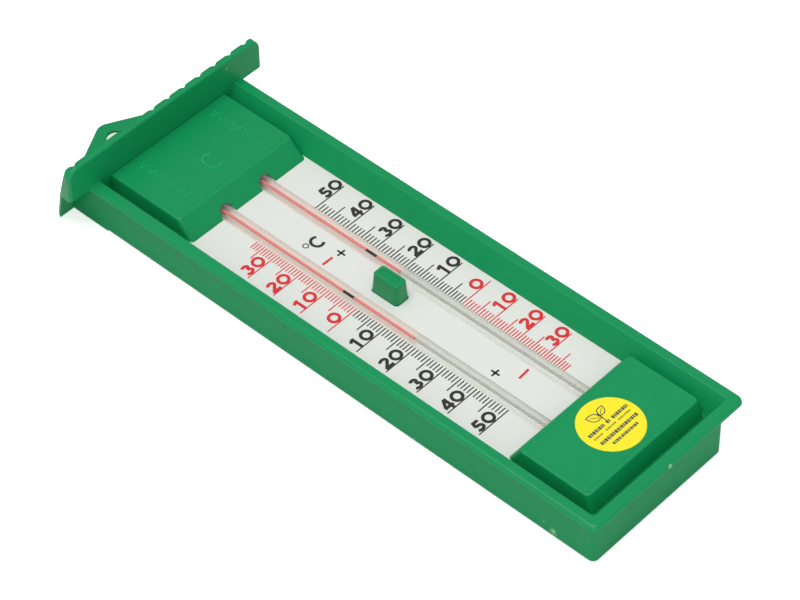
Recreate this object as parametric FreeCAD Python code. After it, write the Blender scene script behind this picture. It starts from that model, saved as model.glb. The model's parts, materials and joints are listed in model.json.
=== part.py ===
"""Maximum minimum thermometer: a U-tube (Six's) thermometer in a moulded tray with a tiled roof.

Every piece is modelled lying on its back in a bench frame (x across, y up the body, z out of the
dial, heights counted from the back plane, origin below the centre of the hanging hole).
stand_up() turns it into the part's own frame: +Z up, dial facing -Y, origin at the centre of the
hanging hole on the back of the eye, so the back plane lies at Y = EYE_Z[0].  Lengths in millimetres.
"""
import FreeCAD
import Part
import math
import os
from FreeCAD import Vector

os.makedirs("parts", exist_ok=True)

# ---------------------------------------------------------------- driving dimensions
# levels above the back plane
FLOOR_Z = 2.2            # inside face of the tray's back wall
LEDGE_Z = 12.95          # ledge that carries the scale plate
PLATE_Z = 14.55          # printed face of the scale plate
COVER_Z = 20.35          # top faces of the two covers
FLARE_Z = 12.5           # where the tray's walls start to lean out
RIM_Z = 21.25            # front face of the rim
RIM_THICK = 1.6
RIM_ROUND = 1.4          # rounding of the rim's outer edge
ROOF_BACK_Z = 1.2        # back edge of the tiles
FRONT_WALL_LOW_Z = 20.5  # back edge of the roof's front wall beyond the rim
END_WALL_LOW_Z = 17.0    # back edge of the roof's end walls where they meet the tiles
EAVE_Z = 32.2            # front of the roof

# stations up the body, measured from the hanging hole (down is negative)
SOFFIT_Y = -24.5         # underside of the roof's front wall
RIM_BOTTOM_Y = -220.2
RIM_INNER_BOTTOM_Y = -216.5
WALL_BOTTOM_Y = -216.7
DIAL_BOTTOM_Y = -212.5   # foot of the opening at the level of the scale plate
PLATE_BOTTOM_Y = -211.6  # the lower cover hides the plate's end
UPPER_COVER_FOOT_Y = -58.5
UPPER_COVER_EDGE_Y = -53.1
LOWER_COVER_FOOT_Y = -181.9
LOWER_COVER_EDGE_Y = -185.3
BEND_Y = -193.0          # centre of the tube's U-bend

# half widths
RIM_HW = 32.3
FLARE_HW = 30.5
RIM_INNER_HW = 28.65
WALL_HW = 27.85
DIAL_HW = 24.65          # opening at the level of the scale plate
CAVITY_HW = 22.3         # hollow behind the scale plate
PLATE_CORNER_R = 2.2
ROOF_HW = 40.0
HIP = ((40.3, -24.5), (38.3, -18.3), (32.3, -8.0), (23.0, 8.0))  # half width of the roof at stations

# roof
ROOF_SLOPE = 0.43        # rise up the body for each millimetre towards the back
ROOF_BACK_Y = -8.15      # crest of the tiles at the back plane
ROOF_CORNER_R = 4.0
TILE_EDGE_R = 2.0        # along both ends of the roof, where the tiles meet the end walls
ROOF_EDGE_R = 0.8
ROOF_WALL = 1.8
SLAB_THICK = 0.45        # under the valleys of the tiles
TILE_COLUMNS = 13
TILE_PITCH = 6.5
TILE_CREST = 1.35        # crest above valley
TILE_STEP = 0.45         # front edge of a course above the course below
COURSES_Z = (EAVE_Z - 1.0, 16.5, 7.0, ROOF_BACK_Z)

# hanging eye
EYE_HOLE_R = 3.0
EYE_Z = (2.2, 3.2)       # back and front of the eye's web
EYE_TOP_Y = 7.1
EYE_PEAK_Y = 7.65        # where its two straight flanks would meet
EYE_FOOT_Y = -10.5
EYE_FLANK = 0.53         # fall of the flank for each millimetre sideways

# glass, liquid and markers
TUBE_X = 8.3
TUBE_R = 2.05
BORE_R = 0.40
GROOVE_R = 2.6
BULB_R = 4.0
BULB_WALL = 0.8
BULB_Y = (-48.6, -28.5)
LIQUID_R = BORE_R - 0.01
MARKER_R = 0.33
MARKER_LENGTH = 4.3
MAX_MENISCUS_Y = -111.8
MIN_MENISCUS_Y = -132.6
MAX_MARKER_Y = -102.5    # lower end of the marker
MIN_MARKER_Y = -109.0

# reset button and the magnet carrier behind the plate
BUTTON_Y = -115.3
BUTTON_FOOT = (5.5, 10.3)
BUTTON_TOP = (4.6, 9.6)
BUTTON_CORNER_R = 1.2
BUTTON_LEDGE = 0.1       # the cap overhangs its stem by this much
BUTTON_Z = PLATE_Z + 7.2
DISH = (2.4, 7.2, 0.5)   # finger dish in the button: across, up the body, deep
POCKET = (3.2, 8.0)      # pocket in the button's back for the carrier's spigot
CARRIER_Z = (7.3, 8.9)
CARRIER_Y = (-180.0, -62.0)
CARRIER_HW = 12.5
MAGNET = (4.0, 1.6)      # width, thickness
POST_R = 1.5
POSTS_Y = (-78.0, -160.0)
SPRING_R = 2.7
SPRING_WIRE_R = 0.25
SPRING_TURNS = 3.5

# plastic wall, fits and fixings
SHELL = 1.5
FIT = 0.05
PEG_R = 1.5
SCREW_R = 1.1
BOSS_R = 2.7
COVER_SIDE_HW = 24.4
COVER_DRAFT = 0.55       # the covers' sides lean in by this much
COVER_LINE = (1.3, 1.55) # fine border line, counted from the edge of the top face
COVER_LINE_DEEP = 0.06
UPPER_PEGS = [(sx * 20.4, y) for sx in (-1, 1) for y in (-30.0, -47.5)]
LOWER_PEGS = [(sx * 20.4, y) for sx in (-1, 1) for y in (-188.5, -207.0)]
PLATE_SCREWS = [(sx * 18.0, y) for sx in (-1, 1) for y in (-38.8, -197.5)]
UPPER_CLIP_Y = (-52.5, -49.9)
LOWER_CLIP_Y = (-190.0, -187.4)
CLIP_TOP_Z = 18.0
CLIP_WAIST_HW = 5.2      # low middle of a clip, where its screw's head sits
CLIP_WAIST_Z = 16.2
LABEL_R = 9.95
LABEL_Y = -198.2

X_AXIS, Y_AXIS, Z_AXIS = Vector(1, 0, 0), Vector(0, 1, 0), Vector(0, 0, 1)
WIDE = 60.0              # beyond every piece, sideways and outwards


# ---------------------------------------------------------------- small builders
def box(x0, x1, y0, y1, z0, z1):
    return Part.makeBox(x1 - x0, y1 - y0, z1 - z0, Vector(x0, y0, z0))


def rod(radius, start, end):
    """Round rod from one point to another."""
    a, b = Vector(*start), Vector(*end)
    return Part.makeCylinder(radius, (b - a).Length, a, b - a)


def post(radius, xy, z0, z1):
    return rod(radius, (xy[0], xy[1], z0), (xy[0], xy[1], z1))


def side_prism(points_yz, half_width):
    """Polygon in the y-z plane, extruded across the body on both sides of the middle."""
    corners = [Vector(-half_width, y, z) for y, z in points_yz]
    wire = Part.makePolygon(corners + corners[:1])
    return Part.Face(wire).extrude(Vector(2 * half_width, 0, 0))


def rounded_rectangle(x0, x1, y0, y1, z, radius):
    """Closed wire with four round corners, at height z."""
    edges = []
    centres = [(x1 - radius, y1 - radius, 0), (x0 + radius, y1 - radius, 90),
               (x0 + radius, y0 + radius, 180), (x1 - radius, y0 + radius, 270)]
    arcs = []
    for cx, cy, start in centres:
        arcs.append(Part.makeCircle(radius, Vector(cx, cy, z), Z_AXIS, start, start + 90))
    for i, arc in enumerate(arcs):
        edges.append(arc)
        edges.append(Part.makeLine(arc.Vertexes[-1].Point, arcs[(i + 1) % 4].Vertexes[0].Point))
    return Part.Wire(edges)


def rounded_block(x0, x1, y0, y1, z0, z1, radius):
    wire = rounded_rectangle(x0, x1, y0, y1, z0, radius)
    return Part.Face(wire).extrude(Vector(0, 0, z1 - z0))


def tapered_block(low, high, radius):
    """Block whose four sides lean, from two rectangles given as (x0, x1, y0, y1, z)."""
    wires = []
    for x0, x1, y0, y1, z in (low, high):
        corners = [Vector(x0, y0, z), Vector(x1, y0, z), Vector(x1, y1, z), Vector(x0, y1, z)]
        wires.append(Part.makePolygon(corners + corners[:1]))
    block = Part.makeLoft(wires, True, True)
    height = high[4] - low[4]
    return block.makeFillet(radius, [e for e in block.Edges if e.BoundBox.ZLength > height - 0.01])


def fuse(shapes):
    return shapes[0].multiFuse(shapes[1:]).removeSplitter() if len(shapes) > 1 else shapes[0]


def cut(shape, tools):
    return shape.cut(tools).removeSplitter()


def upright(shape):
    """Quarter turn that makes bench y point up and bench z point along -Y."""
    turned = shape.copy()
    turned.rotate(Vector(0, 0, 0), X_AXIS, 90)
    return turned


def stand_up(shape):
    """Bench shape in the part's own frame."""
    placed = upright(shape)
    placed.translate(Vector(0, EYE_Z[0], 0))
    return placed


# ---------------------------------------------------------------- case with roof and eye
def valley_y(z):
    """Valleys of the tiles, as a station up the body."""
    return ROOF_BACK_Y - TILE_CREST - ROOF_SLOPE * z


def roof_underside_y(z):
    return valley_y(z) - SLAB_THICK


def hip_block(inset):
    """Everything between the roof's two ends, which close in up the body; drawn in by inset."""
    sides = []
    for mirror in (1, -1):
        curve = Part.BSplineCurve()
        curve.interpolate([Vector(mirror * (hw - inset), y, -5.0) for hw, y in HIP])
        sides.append(curve.toShape())
    foot_hw, head_hw = HIP[0][0] - inset, HIP[-1][0] - inset
    foot = [Vector(x, y, -5.0) for x, y in ((foot_hw, HIP[0][1]), (foot_hw, -WIDE),
                                            (-foot_hw, -WIDE), (-foot_hw, HIP[0][1]))]
    straight = [Part.makeLine(a, b) for a, b in zip(foot, foot[1:])]
    straight.append(Part.makeLine(Vector(-head_hw, HIP[-1][1], -5.0), Vector(head_hw, HIP[-1][1], -5.0)))
    outline = Part.Wire(Part.__sortEdges__(sides + straight))
    return Part.Face(outline).extrude(Vector(0, 0, EAVE_Z + 10.0))


def eave_block():
    """Everything behind the front of the roof, with its round corners and round lower edge."""
    block = rounded_block(-ROOF_HW, ROOF_HW, -20.0, EAVE_Z, -20.0, -SOFFIT_Y, ROOF_CORNER_R)
    rims = [e for e in block.Edges if e.BoundBox.ZMin > -SOFFIT_Y - 0.01]
    return upright(block.makeFillet(ROOF_EDGE_R, rims))


def tile_block():
    """Everything under the crests of the tiles, with a round edge along both ends of the roof."""
    front, back = EAVE_Z + 2.0, -2.0
    crests = [(valley_y(z) + TILE_CREST, z) for z in (front, back)]
    block = side_prism([(-WIDE, back), (-WIDE, front)] + crests, WIDE).common(hip_block(0.0))
    ends = [e for e in block.Edges if e.BoundBox.ZLength > EAVE_Z and e.BoundBox.YLength > 5.0]
    return block.makeFillet(TILE_EDGE_R, ends)


def tile_course(z_front, z_back):
    """One course of half-round tiles, its front edge standing a little proud."""
    run = z_front - z_back
    slope = ROOF_SLOPE - TILE_STEP / run
    overrun = 3.0
    z_far = z_back - overrun
    y_far = valley_y(z_back) + slope * overrun
    half = TILE_COLUMNS * TILE_PITCH / 2
    edges = []
    for i in range(TILE_COLUMNS):
        x0 = -half + i * TILE_PITCH
        x1 = x0 + TILE_PITCH
        crest = Vector((x0 + x1) / 2, y_far + TILE_CREST, z_far)
        edges.append(Part.Arc(Vector(x0, y_far, z_far), crest, Vector(x1, y_far, z_far)).toShape())
    under = y_far - 1.2
    corners = [Vector(half, y_far, z_far), Vector(half, under, z_far),
               Vector(-half, under, z_far), Vector(-half, y_far, z_far)]
    edges += [Part.makeLine(a, b) for a, b in zip(corners, corners[1:])]
    length = run + 2 * overrun
    solid = Part.Face(Part.Wire(edges)).extrude(Vector(0, -slope * length, length))
    return solid.common(box(-WIDE, WIDE, -WIDE, WIDE, z_back, z_front))


def roof():
    """Front wall, leaning end walls and the tiled slab; hollow behind and below."""
    tile_front = COURSES_Z[0]
    profile = [(SOFFIT_Y, EAVE_Z), (SOFFIT_Y, FRONT_WALL_LOW_Z),
               (roof_underside_y(END_WALL_LOW_Z), END_WALL_LOW_Z),
               (roof_underside_y(ROOF_BACK_Z), ROOF_BACK_Z), (valley_y(ROOF_BACK_Z), ROOF_BACK_Z),
               (valley_y(tile_front), tile_front), (valley_y(tile_front) - 0.6, EAVE_Z)]
    wall_y = SOFFIT_Y + ROOF_WALL
    hollow_z = (ROOF_BACK_Y - TILE_CREST - SLAB_THICK - wall_y) / ROOF_SLOPE
    hollow = [(wall_y, hollow_z), (wall_y, -1), (roof_underside_y(-1), -1)]
    shell = side_prism(profile, WIDE).cut(side_prism(hollow, WIDE).common(hip_block(ROOF_WALL)))
    courses = [tile_course(a, b) for a, b in zip(COURSES_Z, COURSES_Z[1:])]
    return fuse([shell] + courses).common(tile_block()).common(eave_block())


def eye_tab():
    """Wide three-cornered web behind the roof, with a round top."""
    slant = math.hypot(1.0, EYE_FLANK)
    top_r = (EYE_PEAK_Y - EYE_TOP_Y) / (slant - 1.0)
    centre_y = EYE_TOP_Y - top_r
    touch = Vector(top_r * EYE_FLANK / slant, centre_y + top_r / slant, EYE_Z[0])
    foot = Vector((EYE_PEAK_Y - EYE_FOOT_Y) / EYE_FLANK, EYE_FOOT_Y, EYE_Z[0])
    other_touch, other_foot = Vector(-touch.x, touch.y, touch.z), Vector(-foot.x, foot.y, foot.z)
    outline = Part.Wire([Part.makeLine(foot, touch),
                         Part.Arc(touch, Vector(0, EYE_TOP_Y, EYE_Z[0]), other_touch).toShape(),
                         Part.makeLine(other_touch, other_foot),
                         Part.makeLine(other_foot, foot)])
    return Part.Face(outline).extrude(Vector(0, 0, EYE_Z[1] - EYE_Z[0]))


def tray_outside():
    """Straight walls, the flare under the rim, and the rim itself."""
    top_y, rim_under = SOFFIT_Y + 8, RIM_Z - RIM_THICK
    lean = FLARE_HW - WALL_HW
    walls = rounded_block(-WALL_HW, WALL_HW, WALL_BOTTOM_Y, top_y, 0, FLARE_Z, 2.0)
    flare = tapered_block((-WALL_HW, WALL_HW, WALL_BOTTOM_Y, top_y, FLARE_Z),
                          (-FLARE_HW, FLARE_HW, WALL_BOTTOM_Y - lean, top_y, rim_under), 2.0)
    rim = rounded_block(-RIM_HW, RIM_HW, RIM_BOTTOM_Y, top_y, rim_under, RIM_Z, 2.5)
    tray = fuse([walls, flare, rim]).cut(box(-WIDE, WIDE, SOFFIT_Y + 1.0, WIDE, -1, WIDE))
    outline = [e for e in tray.Edges if e.BoundBox.YMin < SOFFIT_Y - 0.01]
    tray_top = [e for e in outline if e.BoundBox.ZMin > RIM_Z - 0.01]
    tray = tray.makeFillet(RIM_ROUND, tray_top)
    low = [e for e in tray.Edges if e.BoundBox.ZMax < 0.01 and e.BoundBox.YMin < SOFFIT_Y - 0.01]
    return tray.makeChamfer(0.6, low)


def roof_root():
    """Solid under the tiles between the tray's walls, with two pockets left and right of a web."""
    outside = [(SOFFIT_Y - 0.5, 0), (SOFFIT_Y - 0.5, RIM_Z),
               (roof_underside_y(RIM_Z) + 0.3, RIM_Z), (roof_underside_y(0) + 0.3, 0)]
    core_y, core_z = SOFFIT_Y + 2.5, 18.0
    inside = [(core_y, -1), (core_y, core_z), (roof_underside_y(core_z) - 0.2, core_z),
              (roof_underside_y(-1) - 0.2, -1)]
    pockets = side_prism(inside, WALL_HW - 2.5).cut(box(-1.0, 1.0, -WIDE, WIDE, -2, WIDE))
    return side_prism(outside, WALL_HW).cut(pockets)


def dial_opening():
    """Room inside the rim: leaning walls above the printed face, a straight recess for the plate."""
    top_y, corner_r = SOFFIT_Y + 4, 1.2
    leaning = tapered_block((-DIAL_HW, DIAL_HW, DIAL_BOTTOM_Y, top_y, PLATE_Z),
                            (-RIM_INNER_HW, RIM_INNER_HW, RIM_INNER_BOTTOM_Y, top_y, RIM_Z), corner_r)
    above = rounded_block(-RIM_INNER_HW, RIM_INNER_HW, RIM_INNER_BOTTOM_Y, top_y,
                          RIM_Z, RIM_Z + 3, corner_r)
    opening = fuse([leaning, above]).cut(box(-WIDE, WIDE, SOFFIT_Y, WIDE, -1, WIDE))
    recess = rounded_block(-DIAL_HW, DIAL_HW, PLATE_BOTTOM_Y - 0.1, SOFFIT_Y, LEDGE_Z, PLATE_Z,
                           PLATE_CORNER_R)
    return [opening, recess]


def tray_cavity():
    """Hollow behind the scale plate, leaving the bosses and the springs' guide posts."""
    cavity = rounded_block(-CAVITY_HW, CAVITY_HW, DIAL_BOTTOM_Y + 2.5, SOFFIT_Y - 2.0,
                           FLOOR_Z, LEDGE_Z, 2.0)
    bosses = [post(BOSS_R, xy, FLOOR_Z, LEDGE_Z) for xy in UPPER_PEGS + LOWER_PEGS + PLATE_SCREWS]
    posts = [post(POST_R, (0, y), FLOOR_Z, LEDGE_Z - 0.5) for y in POSTS_Y]
    return cavity.cut(bosses + posts)


def case():
    eye = eye_tab().common(hip_block(0.0))
    whole = fuse([tray_outside(), roof_root(), roof(), eye])
    whole = whole.cut(dial_opening() + [tray_cavity()])
    holes = [post(EYE_HOLE_R, (0, 0), EYE_Z[0] - 1, EYE_Z[1] + 1)]
    holes += [post(PEG_R + FIT, xy, 5.0, 30.0) for xy in UPPER_PEGS + LOWER_PEGS]
    holes += [post(SCREW_R + FIT, xy, 4.0, 30.0) for xy in PLATE_SCREWS]
    ejector_marks = [post(4.0, (sx * 18.0, y), -1, 0.2) for sx in (-1, 1) for y in (-60.0, -120.0, -180.0)]
    return cut(whole, holes + ejector_marks)


# ---------------------------------------------------------------- scale plate and covers
def scale_plate():
    hw, y0, y1 = DIAL_HW - 0.1, PLATE_BOTTOM_Y, SOFFIT_Y - 0.1
    sheet = rounded_block(-hw, hw, y0, y1, LEDGE_Z, PLATE_Z, PLATE_CORNER_R)
    window_y = (UPPER_CLIP_Y[1] + 0.3, LOWER_CLIP_Y[0] - 0.3)
    ribs = [rod(GROOVE_R + 1.2, (sx * TUBE_X, window_y[1], PLATE_Z), (sx * TUBE_X, window_y[0], PLATE_Z))
            for sx in (-1, 1)]
    clip_bosses = [post(2.4, (0, sum(span) / 2), 9.5, LEDGE_Z) for span in (UPPER_CLIP_Y, LOWER_CLIP_Y)]
    plate = fuse([sheet] + ribs + clip_bosses).cut(box(-WIDE, WIDE, y0, y1, PLATE_Z, WIDE))
    grooves = [rod(GROOVE_R, (sx * TUBE_X, y0 - 1, PLATE_Z), (sx * TUBE_X, y1 + 1, PLATE_Z))
               for sx in (-1, 1)]
    band = box(-WIDE, WIDE, window_y[1] - 0.1, window_y[0] + 0.1, -1, WIDE)
    windows = [rounded_block(-14.2, 14.2, window_y[0], SOFFIT_Y - 3.0, 0, 30, 1.5),
               rounded_block(-12.6, 12.6, -205.6, window_y[1], 0, 30, 1.5)]
    slot_x, slot_y = BUTTON_FOOT[0] / 2 + 0.15, BUTTON_FOOT[1] / 2 + 0.15
    slot = rounded_block(-slot_x, slot_x, BUTTON_Y - slot_y, BUTTON_Y + slot_y, 0, 30, BUTTON_CORNER_R)
    holes = [post(PEG_R + 0.2, xy, 0, 30) for xy in UPPER_PEGS + LOWER_PEGS]
    holes += [post(SCREW_R + 0.2, xy, 0, 30) for xy in PLATE_SCREWS]
    holes += [post(SCREW_R + FIT, (0, sum(span) / 2), 0, 30) for span in (UPPER_CLIP_Y, LOWER_CLIP_Y)]
    return cut(plate, [g.common(band) for g in grooves] + windows + [slot] + holes)


def cover(foot, edge, pegs, overlong=0.0):
    """Shallow box; foot and edge are its y spans at the plate and at the top face.

    Its outside can be built overlong at the upper end, to be trimmed square.
    """
    edge_hw = COVER_SIDE_HW - COVER_DRAFT
    low = (-COVER_SIDE_HW, COVER_SIDE_HW, foot[0], foot[1] + overlong, PLATE_Z)
    high = (-edge_hw, edge_hw, edge[0], edge[1] + overlong, COVER_Z)
    solid = tapered_block(low, high, 1.6)
    rims = [e for e in solid.Edges if e.BoundBox.ZMin > COVER_Z - 0.01]
    solid = solid.makeFillet(0.5, rims)
    inner_low = (low[0] + SHELL, low[1] - SHELL, foot[0] + SHELL, foot[1] - SHELL, PLATE_Z)
    inner_high = (high[0] + SHELL, high[1] - SHELL, edge[0] + SHELL, edge[1] - SHELL, COVER_Z - SHELL)
    hollow = tapered_block(inner_low, inner_high, 1.0)
    rings = []
    for inset, deep in zip(COVER_LINE, (COVER_LINE_DEEP, COVER_LINE_DEEP + 1)):
        rings.append(rounded_block(high[0] + inset, high[1] - inset, high[2] + inset, high[3] - inset,
                                   COVER_Z - deep, COVER_Z + 1, 1.0))
    legs = [post(PEG_R, xy, 6.0, COVER_Z - SHELL + 0.2) for xy in pegs]
    shell = solid.cut([hollow, rings[0].cut(rings[1])])
    return fuse([shell] + legs)


def upper_cover():
    end_y = SOFFIT_Y - 0.1
    shell = cover((UPPER_COVER_FOOT_Y, end_y), (UPPER_COVER_EDGE_Y, end_y), UPPER_PEGS, 4.0)
    notches = [rod(2.85, (sx * TUBE_X, -60, PLATE_Z), (sx * TUBE_X, -50, PLATE_Z)) for sx in (-1, 1)]
    return cut(shell, notches + [box(-WIDE, WIDE, end_y, WIDE, 0, WIDE)])


def lower_cover():
    foot = (DIAL_BOTTOM_Y + 0.1, LOWER_COVER_FOOT_Y)
    edge = (DIAL_BOTTOM_Y + 2.1, LOWER_COVER_EDGE_Y)
    shell = cover(foot, edge, LOWER_PEGS)
    notches = [rod(2.4, (sx * TUBE_X, -188, PLATE_Z), (sx * TUBE_X, -180, PLATE_Z)) for sx in (-1, 1)]
    return cut(shell, notches)


def round_label():
    return post(LABEL_R, (0.3, LABEL_Y), COVER_Z, COVER_Z + 0.15)


# ---------------------------------------------------------------- glass and liquids
def u_shape(radius, left_y, right_y):
    """Two limbs joined by the U-bend, each limb ending at its own station."""
    limbs = [rod(radius, (-TUBE_X, BEND_Y, PLATE_Z), (-TUBE_X, left_y, PLATE_Z)),
             rod(radius, (TUBE_X, BEND_Y, PLATE_Z), (TUBE_X, right_y, PLATE_Z))]
    ring = Part.makeTorus(TUBE_X, radius, Vector(0, BEND_Y, PLATE_Z), Z_AXIS)
    bend = ring.common(box(-30, 30, BEND_Y - 30, BEND_Y, 0, 40))
    return fuse([bend] + limbs)


def bulb(x, radius, neck_r, y0, y1):
    """Round-ended bulb that narrows to the tube, spun about the limb's axis."""
    shoulder = 3.0
    neck = y0 - 1.2
    outline = Part.Wire([
        Part.makeLine(Vector(0, neck, 0), Vector(neck_r, neck, 0)),
        Part.makeLine(Vector(neck_r, neck, 0), Vector(radius, y0 + shoulder, 0)),
        Part.makeLine(Vector(radius, y0 + shoulder, 0), Vector(radius, y1 - radius, 0)),
        Part.makeCircle(radius, Vector(0, y1 - radius, 0), Z_AXIS, 0, 90),
        Part.makeLine(Vector(0, y1, 0), Vector(0, neck, 0))])
    solid = Part.Face(outline).revolve(Vector(0, 0, 0), Y_AXIS, 360)
    solid.translate(Vector(x, 0, PLATE_Z))
    return solid


def glass_tube():
    y0, y1 = BULB_Y
    outside = [u_shape(TUBE_R, y0, y0)]
    outside += [bulb(sx * TUBE_X, BULB_R, TUBE_R, y0, y1) for sx in (-1, 1)]
    inside = [u_shape(BORE_R, y0, y0)]
    inside += [bulb(sx * TUBE_X, BULB_R - BULB_WALL, BORE_R, y0 + 1.0, y1 - BULB_WALL) for sx in (-1, 1)]
    return fuse(outside).cut(fuse(inside))


def clear_liquid():
    return u_shape(LIQUID_R, MIN_MENISCUS_Y - 0.02, MAX_MENISCUS_Y - 0.02)


def red_thread(x, meniscus_y, marker_y):
    """Coloured spirit in a limb; it passes the marker as a thin film."""
    thread = rod(LIQUID_R, (x, meniscus_y, PLATE_Z), (x, BULB_Y[0] - 0.5, PLATE_Z))
    room = rod(MARKER_R + 0.01, (x, marker_y - 0.02, PLATE_Z), (x, marker_y + MARKER_LENGTH + 0.02, PLATE_Z))
    return thread.cut(room)


def bulb_spirit(x, fill_y):
    """Spirit in a bulb, up to the fill station, with its neck down to the thread."""
    y0, y1 = BULB_Y
    inside = bulb(x, BULB_R - BULB_WALL - 0.02, LIQUID_R, y0 + 1.0, y1 - BULB_WALL - 0.02)
    return inside.common(box(-30, 30, y0 - 0.1, fill_y, 0, 40))


def marker(x, y):
    pin = rod(MARKER_R, (x, y, PLATE_Z), (x, y + MARKER_LENGTH, PLATE_Z))
    return pin.makeFillet(0.1, [e for e in pin.Edges if e.BoundBox.YLength < 0.01])


# ---------------------------------------------------------------- reset button and magnets
def reset_button():
    fx, fy = BUTTON_FOOT[0] / 2, BUTTON_FOOT[1] / 2
    tx, ty = BUTTON_TOP[0] / 2, BUTTON_TOP[1] / 2
    dx, dy, deep = DISH[0] / 2, DISH[1] / 2, DISH[2]
    px, py = POCKET[0] / 2, POCKET[1] / 2
    sx, sy = fx - BUTTON_LEDGE, fy - BUTTON_LEDGE
    stem = rounded_block(-sx, sx, -sy, sy, CARRIER_Z[1], PLATE_Z, BUTTON_CORNER_R)
    cap = tapered_block((-fx, fx, -fy, fy, PLATE_Z), (-tx, tx, -ty, ty, BUTTON_Z), BUTTON_CORNER_R)
    body = fuse([stem, cap])
    body = body.makeFillet(0.6, [e for e in body.Edges if e.BoundBox.ZMin > BUTTON_Z - 0.01])
    dish = rounded_block(-dx, dx, -dy, dy, BUTTON_Z - deep, BUTTON_Z + 1, dx - 0.05)
    pocket = rounded_block(-px, px, -py, py, CARRIER_Z[1] - 1, BUTTON_Z - 3.0, 0.5)
    body = cut(body, [dish, pocket])
    body.translate(Vector(0, BUTTON_Y, 0))
    return body


def magnet_carrier():
    z0, z1 = CARRIER_Z
    y0, y1 = CARRIER_Y
    plate = rounded_block(-CARRIER_HW, CARRIER_HW, y0, y1, z0, z1, 3.0)
    px, py = POCKET[0] / 2 - FIT, POCKET[1] / 2 - FIT
    spigot = rounded_block(-px, px, BUTTON_Y - py, BUTTON_Y + py, z1, 12.5, 0.5)
    fence = [box(sx * TUBE_X - 2.0 - 0.9, sx * TUBE_X - 2.0 - 0.1, y0 + 4, y1 - 4, z1, z1 + 0.8)
             for sx in (-1, 1)]
    fence += [box(sx * TUBE_X + 2.0 + 0.1, sx * TUBE_X + 2.0 + 0.9, y0 + 4, y1 - 4, z1, z1 + 0.8)
              for sx in (-1, 1)]
    holes = [post(POST_R + 0.08, (0, y), 0, 30) for y in POSTS_Y]
    lightening = [rounded_block(-2.5, 2.5, y - 8, y + 8, 0, z1 + 0.01, 1.5) for y in (-96.0, -134.0)]
    return cut(fuse([plate, spigot] + fence), holes + lightening)


def magnet_strip(side):
    half = MAGNET[0] / 2
    x = side * TUBE_X
    y0, y1 = CARRIER_Y
    return box(x - half, x + half, y0 + 4, y1 - 4, CARRIER_Z[1], CARRIER_Z[1] + MAGNET[1])


def return_spring(y):
    """Coil spring on a guide post, between the tray's back wall and the carrier."""
    gap = CARRIER_Z[0] - FLOOR_Z - 2 * SPRING_WIRE_R - 0.1
    helix = Part.makeLongHelix(gap / SPRING_TURNS, gap, SPRING_R)
    start = helix.Vertexes[0].Point
    ring = Part.Wire([Part.makeCircle(SPRING_WIRE_R, start, Y_AXIS)])
    coil = Part.Wire(helix).makePipeShell([ring], True, True)
    coil.translate(Vector(0, y, FLOOR_Z + SPRING_WIRE_R + 0.05))
    return coil


# ---------------------------------------------------------------- clips, pads and screws
def tube_clip(span):
    y0, y1 = span
    bridge = rounded_block(-13.0, 13.0, y0, y1, PLATE_Z, CLIP_TOP_Z, 0.8)
    saddles = [rod(TUBE_R + FIT, (sx * TUBE_X, y0 - 1, PLATE_Z), (sx * TUBE_X, y1 + 1, PLATE_Z))
               for sx in (-1, 1)]
    waist = box(-CLIP_WAIST_HW, CLIP_WAIST_HW, y0 - 1, y1 + 1, CLIP_WAIST_Z, 30)
    hole = post(SCREW_R + 0.15, (0, sum(span) / 2), 0, 30)
    return cut(bridge, saddles + [waist, hole])


def bulb_pad():
    pad = rounded_block(-13.5, 13.5, -47.5, -30.0, FLOOR_Z, 12.4, 2.0)
    seats = [rod(BULB_R + FIT, (sx * TUBE_X, -60, PLATE_Z), (sx * TUBE_X, -20, PLATE_Z)) for sx in (-1, 1)]
    return cut(pad, seats)


def bend_pad():
    pad = rounded_block(-11.8, 11.8, -205.0, -192.0, FLOOR_Z, 13.4, 2.0)
    seat = u_shape(TUBE_R + FIT, BEND_Y + 5, BEND_Y + 5)
    return cut(pad, [seat])


def pan_screw(xy, under_head, tip_z):
    head = post(2.1, xy, under_head, under_head + 1.3)
    head = head.makeFillet(0.6, [e for e in head.Edges if e.BoundBox.ZMin > under_head + 1.29])
    x, y = xy
    cross = [box(x - 1.2, x + 1.2, y - 0.2, y + 0.2, under_head + 0.5, under_head + 2),
             box(x - 0.2, x + 0.2, y - 1.2, y + 1.2, under_head + 0.5, under_head + 2)]
    point = Part.makeCone(0.3, SCREW_R, 1.5, Vector(x, y, tip_z))
    shank = post(SCREW_R, xy, tip_z + 1.5, under_head)
    return cut(fuse([head, shank, point]), cross)


def plate_screws():
    return Part.makeCompound([pan_screw(xy, PLATE_Z, 5.5) for xy in PLATE_SCREWS])


def clip_screws():
    spots = [(0, sum(span) / 2) for span in (UPPER_CLIP_Y, LOWER_CLIP_Y)]
    return Part.makeCompound([pan_screw(xy, CLIP_WAIST_Z + FIT, 10.0) for xy in spots])


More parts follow.
